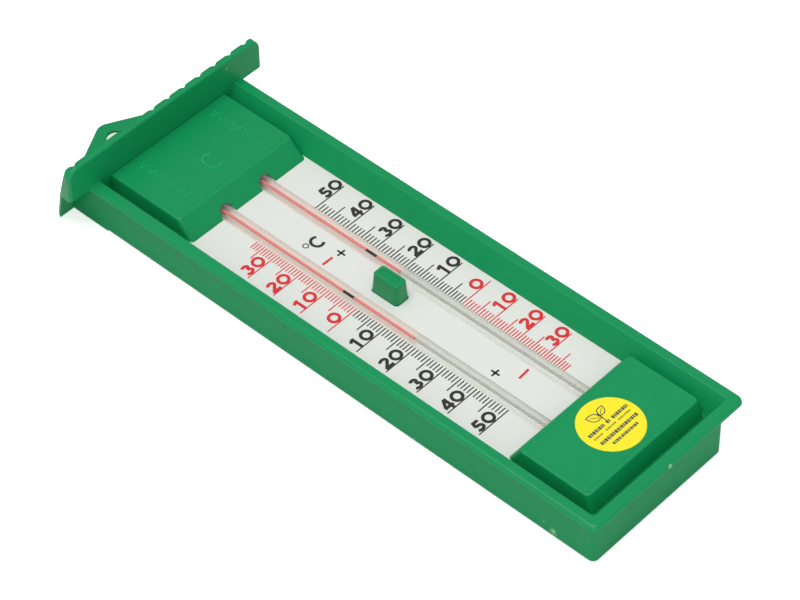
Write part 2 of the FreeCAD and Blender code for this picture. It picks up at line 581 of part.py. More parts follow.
# ---------------------------------------------------------------- the parts
PARTS = {
    "case": case,
    "scale_plate": scale_plate,
    "upper_cover": upper_cover,
    "lower_cover": lower_cover,
    "round_label": round_label,
    "glass_tube": glass_tube,
    "clear_liquid": clear_liquid,
    "max_red_thread": lambda: red_thread(TUBE_X, MAX_MENISCUS_Y, MAX_MARKER_Y),
    "min_red_thread": lambda: red_thread(-TUBE_X, MIN_MENISCUS_Y, MIN_MARKER_Y),
    "max_bulb_spirit": lambda: bulb_spirit(TUBE_X, -38.0),
    "min_bulb_spirit": lambda: bulb_spirit(-TUBE_X, BULB_Y[1]),
    "max_marker": lambda: marker(TUBE_X, MAX_MARKER_Y),
    "min_marker": lambda: marker(-TUBE_X, MIN_MARKER_Y),
    "reset_button": reset_button,
    "magnet_carrier": magnet_carrier,
    "max_magnet_strip": lambda: magnet_strip(1),
    "min_magnet_strip": lambda: magnet_strip(-1),
    "upper_return_spring": lambda: return_spring(POSTS_Y[0]),
    "lower_return_spring": lambda: return_spring(POSTS_Y[1]),
    "upper_tube_clip": lambda: tube_clip(UPPER_CLIP_Y),
    "lower_tube_clip": lambda: tube_clip(LOWER_CLIP_Y),
    "bulb_pad": bulb_pad,
    "bend_pad": bend_pad,
    "plate_screws": plate_screws,
    "clip_screws": clip_screws,
}

for name, build in PARTS.items():
    shape = stand_up(build())
    solids = shape.Solids
    print(name, "solids", len(solids), "volume", round(shape.Volume, 2), "valid", shape.isValid())
    shape.exportStep("parts/" + name + ".step")
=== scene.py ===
"""Looks of the maximum minimum thermometer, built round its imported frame.

Places are given the way the thermometer lies on its back: millimetres across (+X), up the body (+Z)
and out of the back plane (-Y).  place() turns them into the row frame in metres.
"""

import json
import math

import bmesh
import bpy
from mathutils import Matrix, Vector

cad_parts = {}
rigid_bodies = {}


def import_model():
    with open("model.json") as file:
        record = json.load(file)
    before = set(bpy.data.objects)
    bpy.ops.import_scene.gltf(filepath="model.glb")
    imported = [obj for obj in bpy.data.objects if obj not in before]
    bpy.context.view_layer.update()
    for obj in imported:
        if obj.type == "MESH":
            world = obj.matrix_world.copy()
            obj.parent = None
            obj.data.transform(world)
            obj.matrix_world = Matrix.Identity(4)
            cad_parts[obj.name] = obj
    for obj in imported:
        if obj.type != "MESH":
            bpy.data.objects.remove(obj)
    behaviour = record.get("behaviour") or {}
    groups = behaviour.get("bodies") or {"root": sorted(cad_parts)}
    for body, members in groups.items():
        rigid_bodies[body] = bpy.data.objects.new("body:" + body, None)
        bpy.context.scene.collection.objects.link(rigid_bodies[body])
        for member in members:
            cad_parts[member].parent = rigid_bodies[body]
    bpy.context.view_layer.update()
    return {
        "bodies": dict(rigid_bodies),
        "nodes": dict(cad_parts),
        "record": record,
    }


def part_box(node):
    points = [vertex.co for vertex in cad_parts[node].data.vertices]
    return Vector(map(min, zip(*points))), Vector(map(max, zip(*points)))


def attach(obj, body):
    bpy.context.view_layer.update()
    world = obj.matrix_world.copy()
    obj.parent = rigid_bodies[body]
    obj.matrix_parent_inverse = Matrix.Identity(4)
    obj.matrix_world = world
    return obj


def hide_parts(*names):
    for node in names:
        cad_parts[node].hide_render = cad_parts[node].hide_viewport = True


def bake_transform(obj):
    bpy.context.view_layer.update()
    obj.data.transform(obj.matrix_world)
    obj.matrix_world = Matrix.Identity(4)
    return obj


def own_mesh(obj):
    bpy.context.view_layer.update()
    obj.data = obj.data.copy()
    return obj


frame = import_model()

MM = 0.001
NODES = frame["nodes"]

# ---------------------------------------------------------------- sizes read from the frame, in mm


def span(node, axis):
    """Lowest and highest value of a node along the row frame's x, y or z."""
    low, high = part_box(node)
    return low["xyz".index(axis)] / MM, high["xyz".index(axis)] / MM


def middle(node, axis):
    return sum(span(node, axis)) / 2


BACK_Y = span("case", "y")[1]


def levels(node):
    """Lowest and highest level of a node above the back plane."""
    front, back = span(node, "y")
    return BACK_Y - back, BACK_Y - front


FACE_OUT = levels("scale_plate")[1]
COVER_OUT = levels("upper_cover")[1]

TUBE_R = 2.05              # the glass's own sizes, down to BULB_WALL, aren't in the frame
LIQUID_R = 0.47            # the round glass makes the liquid in its fine bore look this thick
BORE_GAP = 0.03            # between the liquid and the wall of the bore
BORE_R = LIQUID_R + BORE_GAP
BULB_WALL = 0.8

TUBE_X = middle("max_marker", "x")
BULB_R = (span("glass_tube", "x")[1] - span("glass_tube", "x")[0]) / 2 - TUBE_X
BULB_TOP_UP = span("glass_tube", "z")[1]
BULB_SHOULDER_UP = span("max_bulb_spirit", "z")[0] + 3.0    # the bulb is straight above its shoulder
BULB_NECK_UP = BULB_SHOULDER_UP - 4.2                       # and as thin as the limb below its neck
BEND_UP = span("glass_tube", "z")[0] + TUBE_X + TUBE_R
MAX_MENISCUS_UP = span("max_red_thread", "z")[0]
MIN_MENISCUS_UP = span("min_red_thread", "z")[0]
MAX_FILL_UP = span("max_bulb_spirit", "z")[1]
MIN_FILL_UP = span("min_bulb_spirit", "z")[1]
MAX_MARKER_UP = span("max_marker", "z")
MIN_MARKER_UP = span("min_marker", "z")

STICKER_X = middle("round_label", "x")
STICKER_UP = middle("round_label", "z")
STICKER_R = (span("round_label", "x")[1] - span("round_label", "x")[0]) / 2
STICKER_OUT = levels("round_label")[1]

# ---------------------------------------------------------------- the printed scales, in mm
COLDEST, HOTTEST = -38, 50
MAX_ZERO_UP = -133.6
MAX_DEGREE = (1.0825, 0.0016)  # length of a degree at zero, and its growth per degree away from it
MIN_ZERO_UP = -112.3
MIN_BELOW = (1.101, 0.00117)   # the same for the minimum scale below zero
MIN_ABOVE = (1.139, 0.00042)   # and above zero
LINE_STROKE = 0.40
LINE_START = 10.85         # every line starts this far from the middle of the dial
LINE_ENDS = (13.9, 17.0, 23.2)     # lines of one, five and ten degrees end here
NUMBER_LEFT = {            # left edge of a number, by side and number of digits
    (1, 2): 15.8,
    (1, 1): 17.4,
    (-1, 2): -22.55,
    (-1, 1): -20.05,
}
NUMBER_LIFT = 0.2          # from the middle of its line up to the foot of a number
DIGIT_HEIGHT = 4.28
DIGIT_STEP = 0.885 * DIGIT_HEIGHT
DIGIT_STROKE = 1.02
SIGN_STROKE = 0.65
SIGN_REACH = 1.57          # from the middle of a plus sign to the ends of its bars
INK_THICK = 0.03
INK_STEP = 0.004           # strokes that cross differ this much in height

# ---------------------------------------------------------------- raised letters of the cover, in mm
EMBOSS_THICK = 0.15
EMBOSS_ROOT = 0.05         # they reach this far into the cover
EMBOSS_EDGE = 0.14         # their tops are this much narrower on each side
LETTER_HEIGHT = 3.5
LETTER_STROKE = 0.48


def place(across, up, out):
    """Point in the row frame, in metres, from millimetres across, up the body and out of the back plane."""
    return Vector((across, BACK_Y - out, up)) * MM


# ---------------------------------------------------------------- mesh helpers
def add_object(name, data):
    made = bpy.data.objects.new(name, data)
    bpy.context.scene.collection.objects.link(made)
    return made


def smooth_mesh(name, bm, *materials):
    """Turns a bmesh into a smooth-shaded mesh with these materials."""
    mesh = bpy.data.meshes.new(name)
    bm.to_mesh(mesh)
    bm.free()
    mesh.polygons.foreach_set("use_smooth", [True] * len(mesh.polygons))
    for material in materials:
        mesh.materials.append(material)
    return mesh


def finish_mesh(name, bm, material, body, smooth_deg=35.0):
    """Turns a bmesh into a shown piece that rides on a body; body is None for a piece that rides on none."""
    bmesh.ops.recalc_face_normals(bm, faces=bm.faces)
    mesh = smooth_mesh(name, bm, material)
    mesh.set_sharp_from_angle(angle=math.radians(smooth_deg))
    piece = add_object(name, mesh)
    if body:
        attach(piece, body)
    return piece


def arc(cx, cy, rx, ry, start_deg, end_deg, count):
    """Points along an elliptical arc, in count equal steps from its start to its end."""
    points = []
    for i in range(count + 1):
        a = math.radians(start_deg + (end_deg - start_deg) * i / count)
        points.append((cx + rx * math.cos(a), cy + ry * math.sin(a)))
    return points


def circle(cx, cy, radius, count):
    """Points round a circle, each once."""
    return arc(cx, cy, radius, radius, 0, 360, count)[:-1]


def skin(bm, rings):
    """Faces between neighbouring rings that have equally many corners."""
    faces = []
    for a, b in zip(rings, rings[1:]):
        for k in range(len(a)):
            m = (k + 1) % len(a)
            faces.append(bm.faces.new((a[k], a[m], b[m], b[k])))
    return faces


def add_stroke(bm, points, width, low, high, closed=False, edge=0.0):
    """Bar of even width along (across, up) points; edge draws its top in for a soft shoulder."""
    pts = [Vector(p) for p in points]
    count = len(pts)
    rows = []
    for i, p in enumerate(pts):
        legs = []
        if closed or i > 0:
            legs.append((p - pts[i - 1]).normalized())
        if closed or i < count - 1:
            legs.append((pts[(i + 1) % count] - p).normalized())
        along = sum(legs, Vector((0, 0))).normalized()
        mitre = max(0.5, along.dot(legs[0]))
        side = Vector((-along.y, along.x)) / mitre
        wide, narrow = side * width / 2, side * (width / 2 - edge)
        corners = [(p - wide, low), (p + wide, low), (p + narrow, high), (p - narrow, high)]
        rows.append([bm.verts.new(place(q.x, q.y, out)) for q, out in corners])
    if closed:
        skin(bm, rows + rows[:1])
    else:
        skin(bm, rows)
        bm.faces.new(rows[0])
        bm.faces.new(rows[-1])


def add_tube(bm, path, radii, segments, inward=False):
    """Round tube along (across, up) points at the plate's level, closed at both ends.

    inward turns its faces round, for a hollow in another solid; it returns its faces.
    """
    rings = []
    count = len(path)
    for i, (p, r) in enumerate(zip(path, radii)):
        p = Vector(p)
        ahead = Vector(path[min(i + 1, count - 1)])
        behind = Vector(path[max(i - 1, 0)])
        along = (ahead - behind).normalized()
        side = Vector((-along.y, along.x))
        ring = []
        for k in range(segments):
            a = 2 * math.pi * k / segments
            q = p + side * r * math.cos(a)
            ring.append(bm.verts.new(place(q.x, q.y, FACE_OUT + r * math.sin(a))))
        rings.append(ring)
    faces = [bm.faces.new(rings[0]), bm.faces.new(rings[-1])]
    faces += skin(bm, rings)
    bmesh.ops.recalc_face_normals(bm, faces=faces)
    if inward:
        bmesh.ops.reverse_faces(bm, faces=faces)
    return faces


# ---------------------------------------------------------------- node helpers
class Nodes:
    """Short hand for wiring a tree of shader nodes; a value may be plain, a node or a socket."""

    def __init__(self, tree):
        self.tree = tree

    def node(self, kind, inputs=None, **settings):
        made = self.tree.nodes.new("ShaderNode" + kind)
        for key, value in settings.items():
            setattr(made, key, value)
        for key, value in (inputs or {}).items():
            self.feed(made.inputs[key], value)
        return made

    def feed(self, socket, value):
        if isinstance(value, bpy.types.NodeSocket):
            self.tree.links.new(value, socket)
        elif isinstance(value, bpy.types.Node):
            self.tree.links.new(value.outputs[0], socket)
        else:
            socket.default_value = value

    def mix(self, factor, a, b, kind="RGBA"):
        made = self.node("Mix", {"Factor": factor, "A": a, "B": b}, data_type=kind)
        return made.outputs["Result"]


class Shader(Nodes):
    """A node material in the making."""

    def __init__(self, name):
        self.material = bpy.data.materials.new(name)
        self.material.use_nodes = True
        super().__init__(self.material.node_tree)
        self.tree.nodes.clear()
        self.output = self.node("OutputMaterial")

    def place(self):
        """The point being shaded, in the row frame, in metres."""
        return self.node("TexCoord").outputs["Object"]

    def noise(self, scale, detail=2.0, vector=None):
        made = self.node("TexNoise", {"Scale": scale, "Detail": detail})
        self.feed(made.inputs["Vector"], vector or self.place())
        return made.outputs["Fac"]

    def between(self, value, from_low, from_high, to_low=0.0, to_high=1.0):
        """Value carried over from one range to another, without going past its ends."""
        return self.node("MapRange", {"Value": value, "From Min": from_low, "From Max": from_high,
                                      "To Min": to_low, "To Max": to_high}).outputs[0]

    def math(self, operation, a, b):
        return self.node("Math", {0: a, 1: b}, operation=operation).outputs[0]

    def vector_math(self, operation, a, b):
        return self.node("VectorMath", {0: a, 1: b}, operation=operation).outputs["Value"]

    def part(self, vector, axis):
        return self.node("SeparateXYZ", {"Vector": vector}).outputs[axis]

    def bump(self, height, distance, strength=1.0, normal=None):
        made = self.node("Bump", {"Height": height, "Distance": distance, "Strength": strength})
        if normal is not None:
            self.feed(made.inputs["Normal"], normal)
        return made.outputs[0]

    def surface(self, shader):
        """Ends the tree with this shader and hands over the material."""
        self.feed(self.output.inputs["Surface"], shader)
        return self.material


def rgb(r, g, b):
    return (r, g, b, 1.0)


def shade(colour, factor):
    """Colour made darker or lighter, as an opaque rgba."""
    return rgb(*(min(1.0, c * factor) for c in colour))


WALL_X = -27.85            # outside of the tray's left wall, in mm
GREEN_TONES = ((0.0040, 0.276, 0.090), (0.0060, 0.317, 0.110))
# paler green for convex edges: partly edge wear, partly painted highlight
GREEN_WEAR_AND_HIGHLIGHT = rgb(0.012, 0.46, 0.155)
GREEN_SCUFF = rgb(0.32, 0.62, 0.33)
SCUFFS = (                 # (across, up, out) of a pale nick in the case and its size, in mm
    ((WALL_X, -202.0, 2.4), 2.0),
    ((WALL_X, -198.6, 3.9), 0.6),
    ((-0.6, -220.2, 20.4), 1.1),
    ((-3.0, -216.7, 0.3), 1.3),
    ((WALL_X, -150.0, 1.2), 0.6),
    ((25.4, -24.5, 29.2), 0.7),
)


def green_plastic(name, edge_radius, painted_highlight_lift=1.0):
    """Injection-moulded green: soft paler edges, partly edge wear and partly painted highlight, faint flow
    marks, fine grain, a few pale scuffs.
    """
    s = Shader(name)
    where = s.place()
    flow = s.noise(22.0, 3.0, where)
    grain = s.noise(3800.0, 2.0, where)
    # a lift above 1 paints the whole tone paler, as a painted highlight
    base = s.mix(flow, *[shade(tone, painted_highlight_lift) for tone in GREEN_TONES])
    soft = s.node("Bevel", {"Radius": edge_radius * MM}, samples=6).outputs[0]
    flat = s.node("NewGeometry").outputs["Normal"]
    # paler along convex edges: partly edge wear, partly painted highlight
    edge = s.between(s.vector_math("DOT_PRODUCT", soft, flat), 1.0, 0.80)
    colour = s.mix(s.math("MULTIPLY", edge, 0.6), base, GREEN_WEAR_AND_HIGHLIGHT)
    ragged = s.math("MULTIPLY", s.noise(900.0, 3.0, where), 1.6)
    for centre, size in SCUFFS:
        gap = s.vector_math("DISTANCE", where, place(*centre))
        reach = s.math("ADD", s.math("DIVIDE", gap, size * MM), ragged)
        colour = s.mix(s.between(reach, 1.45, 1.15, 0.0, 0.75), colour, GREEN_SCUFF)
    rough = s.between(s.noise(160.0, 4.0, where), 0.3, 0.7, 0.27, 0.36)
    shape = s.bump(grain, 0.004 * MM, 0.6, soft)
    shape = s.bump(flow, 0.25 * MM, 0.35, shape)
    return s.surface(s.node("BsdfPrincipled", {
        "Base Color": colour, "Roughness": rough, "Specular IOR Level": 0.32, "Normal": shape,
        "Subsurface Weight": 0.15, "Subsurface Radius": (0.2, 1.0, 0.45), "Subsurface Scale": 0.9 * MM}))


def opal_plastic():
    """Opal white; its grooves are painted paler, as painted light that the round glass gathers into them."""
    s = Shader("opal_plastic")
    where = s.place()
    face = s.mix(s.noise(30.0, 3.0, where), rgb(0.765, 0.785, 0.745), rgb(0.790, 0.805, 0.767))
    # painted light: the grooves are painted paler than the face
    painted_groove_light = rgb(0.880, 0.880, 0.857)
    depth = s.math("SUBTRACT", s.part(where, "Y"), (BACK_Y - FACE_OUT) * MM)
    base = s.mix(s.between(depth, 0.05 * MM, 0.25 * MM), face, painted_groove_light)
    rough = s.between(s.noise(220.0, 3.0, where), 0.3, 0.7, 0.30, 0.38)
    soft = s.node("Bevel", {"Radius": 0.15 * MM}, samples=4)
    shape = s.bump(s.noise(5000.0, 2.0, where), 0.003 * MM, 0.5, soft)
    return s.surface(s.node("BsdfPrincipled", {"Base Color": base, "Roughness": rough, "Normal": shape}))


def simple_plastic(name, colour, rough, grain_scale=2500.0, spread=0.12, metallic=0.0):
    """Plain finish with a little mottling and grain; spread is how far its tones differ."""
    s = Shader(name)
    where = s.place()
    base = s.mix(s.noise(350.0, 3.0, where), shade(colour, 1 - spread), shade(colour, 1 + spread))
    uneven = s.between(s.noise(700.0, 3.0, where), 0.3, 0.7, rough * 0.85, rough * 1.15)
    shape = s.bump(s.noise(grain_scale, 2.0, where), 0.01 * MM, 0.6)
    return s.surface(s.node("BsdfPrincipled", {"Base Color": base, "Roughness": uneven,
                                               "Metallic": metallic, "Normal": shape}))


def ink(name, colour):
    """Screen-printed ink: slightly uneven cover, semi-matt."""
    s = Shader(name)
    where = s.place()
    thin = rgb(*(min(1.0, c * 1.5 + 0.03) for c in colour))
    worn = s.between(s.noise(2600.0, 3.0, where), 0.55, 0.8, 0.0, 0.5)
    grain = s.bump(s.noise(4000.0, 2.0, where), 0.004 * MM)
    return s.surface(s.node("BsdfPrincipled", {"Base Color": s.mix(worn, rgb(*colour), thin),
                                               "Roughness": 0.45, "Normal": grain}))


PAINTED_LINE_ANGLE = math.radians(13.0)   # the tube's painted highlight line lies this far round to the right
MENISCUS_BLUR = 1.2                # the glass changes its cast over this much on each side, in mm


def beside_red(s):
    """1 where the glass lies beside red spirit, 0 beside clear liquid; it follows the columns."""
    warm = []
    for body, meniscus in (("min_column", MIN_MENISCUS_UP), ("max_column", MAX_MENISCUS_UP)):
        moved = s.node("TexCoord", object=frame["bodies"][body]).outputs["Object"]
        warm.append(s.between(s.part(moved, "Z"), (meniscus - MENISCUS_BLUR) * MM,
                              (meniscus + MENISCUS_BLUR) * MM))
    right_side = s.math("GREATER_THAN", s.part(s.place(), "X"), 0.0)
    return s.mix(right_side, *warm, kind="FLOAT")


def tube_glass():
    """Clear glass: a warm cast of painted light beside the red spirit, a grey cast beside the clear liquid,
    painted shade along its sides, a painted highlight line.
    """
    s = Shader("tube_glass")
    uneven = s.noise(60.0, 2.0)
    grey_cast = s.mix(uneven, rgb(0.905, 0.916, 0.886), rgb(0.911, 0.922, 0.892))
    # painted light: the warm cast stands for red light from the spirit that the round glass spreads across
    # its width
    painted_red_glow = s.mix(uneven, rgb(0.995, 0.958, 0.922), rgb(1.000, 0.964, 0.928))
    # painted shade along the tube's sides
    painted_edge_shade = rgb(0.90, 0.88, 0.84)
    edge = s.between(s.node("LayerWeight", {"Blend": 0.5}).outputs["Facing"], 0.55, 1.0, 0.0, 0.5)
    tint = s.mix(edge, s.mix(beside_red(s), grey_cast, painted_red_glow), painted_edge_shade)
    surface = s.node("NewGeometry")
    front = s.math("SUBTRACT", 1.0, surface.outputs["Backfacing"])
    bright_side = place(math.sin(PAINTED_LINE_ANGLE), 0, math.cos(PAINTED_LINE_ANGLE)) - place(0, 0, 0)
    aligned = s.vector_math("DOT_PRODUCT", surface.outputs["Normal"], bright_side.normalized())
    # painted highlight: a thin glowing line along the front of the tube
    painted_line_highlight = s.math("MULTIPLY", front, s.between(aligned, 0.9985, 0.9995, 0.0, 0.16))
    clear = s.node("BsdfTransparent", {"Color": tint})
    bright = s.node("Emission", {"Color": rgb(1.0, 0.98, 0.95)})
    mirror = s.math("MULTIPLY", front, s.math("MINIMUM", s.node("Fresnel", {"IOR": 1.47}), 0.06))
    shine = s.node("BsdfGlossy", {"Color": rgb(1, 1, 1), "Roughness": 0.10})
    lined = s.node("MixShader", {0: painted_line_highlight, 1: clear, 2: bright})
    glass = s.node("MixShader", {0: mirror, 1: lined, 2: shine})
    path = s.node("LightPath")
    indirect = s.math("MAXIMUM", path.outputs["Is Shadow Ray"], path.outputs["Is Diffuse Ray"])
    untinted = s.node("BsdfTransparent", {"Color": rgb(0.99, 0.99, 0.99)})
    return s.surface(s.node("MixShader", {0: indirect, 1: glass, 2: untinted}))


def see_through(name, noise_scale, low, high):
    """Clear finish that doesn't bend the light, for the liquid and the bore it wets."""
    s = Shader(name)
    tint = s.mix(s.noise(noise_scale, 2.0), low, high)
    return s.surface(s.node("BsdfTransparent", {"Color": tint}))


def red_liquid():
    """Red spirit; the glow stands for the light that the round glass gathers in it."""
    s = Shader("red_spirit")
    where = s.place()
    base = s.mix(s.noise(400.0, 2.0, where), rgb(0.74, 0.215, 0.205), rgb(0.79, 0.240, 0.230))
    ripple = s.bump(s.noise(800.0, 2.0, where), 0.01 * MM)
    body = s.node("BsdfPrincipled", {"Base Color": base, "Roughness": 0.25, "Normal": ripple})
    glow = s.node("Emission", {"Color": base, "Strength": 0.12})
    return s.surface(s.node("AddShader", {0: body, 1: glow}))


def marker_coat():
    """Black steel pin seen through its clear sleeve: dark in the middle, pale along both sides."""
    s = Shader("marker_coat")
    where = s.place()
    facing = s.node("LayerWeight", {"Blend": 0.5}).outputs["Facing"]
    pin = s.mix(s.noise(1500.0, 3.0, where), rgb(0.010, 0.008, 0.008), rgb(0.022, 0.018, 0.018))
    sleeve = rgb(0.62, 0.42, 0.38)
    base = s.mix(s.between(facing, 0.45, 0.60), pin, sleeve)
    grain = s.bump(s.noise(3000.0, 2.0, where), 0.005 * MM)
    return s.surface(s.node("BsdfPrincipled", {"Base Color": base, "Roughness": 0.35, "Normal": grain}))


MATERIALS = {
    "green_plastic": green_plastic("green_plastic", 0.5),
    # the lettering's paler tone is a painted highlight on the raised strokes
    "green_lettering": green_plastic("green_lettering", 0.05, 1.30),
    "opal_plastic": opal_plastic(),
    "grey_plastic": simple_plastic("grey_plastic", (0.42, 0.43, 0.41), 0.5),
    "magnet_rubber": simple_plastic("magnet_rubber", (0.035, 0.032, 0.032), 0.75, 1500.0, 0.25),
    "spring_steel": simple_plastic("spring_steel", (0.55, 0.55, 0.57), 0.28, 6000.0, 0.08, 1.0),
    "zinc_steel": simple_plastic("zinc_steel", (0.60, 0.61, 0.63), 0.35, 4000.0, 0.10, 1.0),
    "foam": simple_plastic("foam", (0.06, 0.06, 0.065), 0.95, 1200.0, 0.30),
    "label_paper": simple_plastic("label_paper", (0.985, 0.845, 0.018), 0.40, 3000.0, 0.015),
    "clear_glass": tube_glass(),
    "bore_wall": see_through("bore_wall", 900.0, rgb(0.994, 0.995, 0.993), rgb(1.0, 1.0, 1.0)),
    "red_spirit": red_liquid(),
    "clear_liquid": see_through("clear_liquid", 500.0, rgb(0.990, 0.994, 0.988), rgb(0.998, 1.000, 0.996)),
    "black_marker": marker_coat(),
    "black_ink": ink("black_ink", (0.030, 0.028, 0.025)),
    "red_ink": ink("red_ink", (0.72, 0.025, 0.030)),
    "label_ink": ink("label_ink", (0.070, 0.095, 0.095)),
}

for part in frame["record"]["subparts"]:
    node = NODES[part["node"]]
    node.data.materials.clear()
    node.data.materials.append(MATERIALS[part["material_slot"]])


# ---------------------------------------------------------------- printed scales
def numeral(digit):
    """Centre lines of a round numeral from 0 to 5, as (points, closed), in a box one high.

    The zero is a ring; the others are about 0.78 wide.
    """
    s = DIGIT_STROKE / DIGIT_HEIGHT / 2
    top, foot = 1 - s, s
    if digit == 0:
        return [(circle(0.5, 0.5, 0.5 - s, 48), True)]
    if digit == 1:
        return [([(0.45, 0.0), (0.45, 1.0)], False), ([(0.12, 0.73), (0.41, 0.90)], False)]
    if digit == 2:
        bowl = arc(0.39, 0.69, 0.27, top - 0.69, 168, -34, 16)
        return [(bowl + [(0.14, foot + 0.02)], False), ([(0.02, foot), (0.78, foot)], False)]
    if digit == 3:
        upper = arc(0.37, 0.73, 0.23, top - 0.73, 155, -90, 16)
        lower = arc(0.37, 0.31, 0.29, 0.31 - foot, 90, -158, 18)
        return [(upper, False), (lower, False)]
    if digit == 4:
        return [([(0.58, 0.0), (0.58, 1.0)], False), ([(0.52, 0.95), (0.10, 0.33)], False),
                ([(0.01, 0.29), (0.80, 0.29)], False)]
    bowl = arc(0.37, 0.33, 0.30, 0.33 - foot, 130, -150, 20)    # of the five
    return [([(0.18, top), (0.72, top)], False), ([(0.26, top), (0.18, 0.50)], False), (bowl, False)]


def add_number(bm, text, left, baseline):
    """Row of numerals that starts at left and stands on the baseline."""
    x = left
    for letter in text:
        for layer, (points, closed) in enumerate(numeral(int(letter))):
            moved = [(x + px * DIGIT_HEIGHT, baseline + py * DIGIT_HEIGHT) for px, py in points]
            high = FACE_OUT + INK_THICK + INK_STEP * layer
            add_stroke(bm, moved, DIGIT_STROKE, FACE_OUT, high, closed)
        x += DIGIT_STEP


def max_up(degrees):
    degree, stretch = MAX_DEGREE
    return MAX_ZERO_UP + degree * degrees * (1 + stretch * degrees)


def min_up(degrees):
    degree, stretch = MIN_ABOVE if degrees > 0 else MIN_BELOW
    return MIN_ZERO_UP - degree * degrees * (1 + stretch * degrees)


def add_scale(bm, side, station, wanted):
    """Lines and numbers of one scale for the degrees that wanted() accepts."""
    one, five, ten = LINE_ENDS
    for degrees in range(COLDEST, HOTTEST + 1):
        if not wanted(degrees):
            continue
        reach = ten if degrees % 10 == 0 else five if degrees % 5 == 0 else one
        up = station(degrees)
        line = [(side * LINE_START, up), (side * reach, up)]
        add_stroke(bm, line, LINE_STROKE, FACE_OUT, FACE_OUT + INK_THICK - INK_STEP)
        if degrees % 10 == 0:
            text = str(abs(degrees))
            add_number(bm, text, NUMBER_LEFT[(side, len(text))], up + NUMBER_LIFT)


def printed(name, ink_name, fill):
    """One piece of print on the scale plate; fill(bm) draws its strokes."""
    bm = bmesh.new()
    fill(bm)
    finish_mesh(name, bm, MATERIALS[ink_name], "case")


for title, side, station in (("max", 1, max_up), ("min", -1, min_up)):
    printed(title + "_scale_black", "black_ink",
            lambda bm: add_scale(bm, side, station, lambda degrees: degrees > 0))
    printed(title + "_scale_red", "red_ink",
            lambda bm: add_scale(bm, side, station, lambda degrees: degrees <= 0))


def letter_c(x, up, half_wide, half_high):
    """Centre line of a round letter C that opens to the right."""
    gap = 48
    return arc(x, up, half_wide, half_high, gap, 360 - gap, 36)


def centre_marks_black(bm):
    """Degree sign with its letter, and the two plus signs."""
    low, high = FACE_OUT, FACE_OUT + INK_THICK
    add_stroke(bm, circle(-2.5, -83.9, 0.85, 24), 0.34, low, high, True)
    add_stroke(bm, letter_c(0.98, -85.2, 1.85, 2.0), 0.95, low, high)
    for x, up in ((2.4, -93.6), (-2.8, -158.4)):
        add_stroke(bm, [(x - SIGN_REACH, up), (x + SIGN_REACH, up)], SIGN_STROKE, low, high)
        add_stroke(bm, [(x, up - SIGN_REACH), (x, up + SIGN_REACH)], SIGN_STROKE, low, high)


def centre_marks_red(bm):
    """The two minus signs, which stand a little askew."""
    low, high = FACE_OUT, FACE_OUT + INK_THICK
    add_stroke(bm, [(-4.75, -92.9), (-0.6, -92.95)], 0.8, low, high)
    add_stroke(bm, [(0.1, -164.8), (4.55, -164.5)], 0.8, low, high)


printed("centre_marks_black", "black_ink", centre_marks_black)
printed("centre_marks_red", "red_ink", centre_marks_red)


# ---------------------------------------------------------------- raised words on the upper cover
LETTERS = {                # centre lines in a box one high, and the letter's width
    "M": ([[(0.0, 0.0), (0.2, 1.0), (0.62, 0.15), (1.04, 1.0), (1.24, 0.0)]], 1.24),
    "I": ([[(0.0, 0.0), (0.0, 1.0)]], 0.0),
    "N": ([[(0.0, 0.0), (0.0, 1.0), (0.70, 0.0), (0.70, 1.0)]], 0.70),
    "A": ([[(0.0, 0.0), (0.34, 1.0), (0.68, 0.0)], [(0.14, 0.36), (0.54, 0.36)]], 0.68),
    "X": ([[(0.0, 0.0), (0.8, 1.0)], [(0.0, 1.0), (0.8, 0.0)]], 0.8),
}


def add_upright_word(bm, word, foot_x, start_up, end_up):
    """Word that reads up the body between two stations, its letters' tops towards -x."""
    letters = [LETTERS[letter] for letter in word]
    widths = sum(wide for lines, wide in letters) * LETTER_HEIGHT
    gap = (end_up - start_up - widths) / (len(word) - 1)
    up = start_up
    for lines, wide in letters:
        for line in lines:
            points = [(foot_x - py * LETTER_HEIGHT, up + px * LETTER_HEIGHT) for px, py in line]
            for a, b in zip(points, points[1:]):
                add_stroke(bm, [a, b], LETTER_STROKE, COVER_OUT - EMBOSS_ROOT, COVER_OUT + EMBOSS_THICK,
                           edge=EMBOSS_EDGE)
        up += wide * LETTER_HEIGHT + gap


def raised_words():
    """The two words and the degree sign with its letter; a painted highlight makes them look a little paler
    than the cover.
    """
    bm = bmesh.new()
    add_upright_word(bm, "MINIMA", -12.85, -47.6, -27.7)
    add_upright_word(bm, "MAXIMA", 17.35, -48.0, -27.4)
    low, high = COVER_OUT - EMBOSS_ROOT, COVER_OUT + EMBOSS_THICK
    add_stroke(bm, circle(-2.6, -38.4, 0.68, 24), 0.42, low, high, True, edge=0.1)
    add_stroke(bm, letter_c(0.5, -42.4, 2.55, 3.05), 0.85, low, high, edge=EMBOSS_EDGE)
    finish_mesh("raised_words", bm, MATERIALS["green_lettering"], "case")


raised_words()


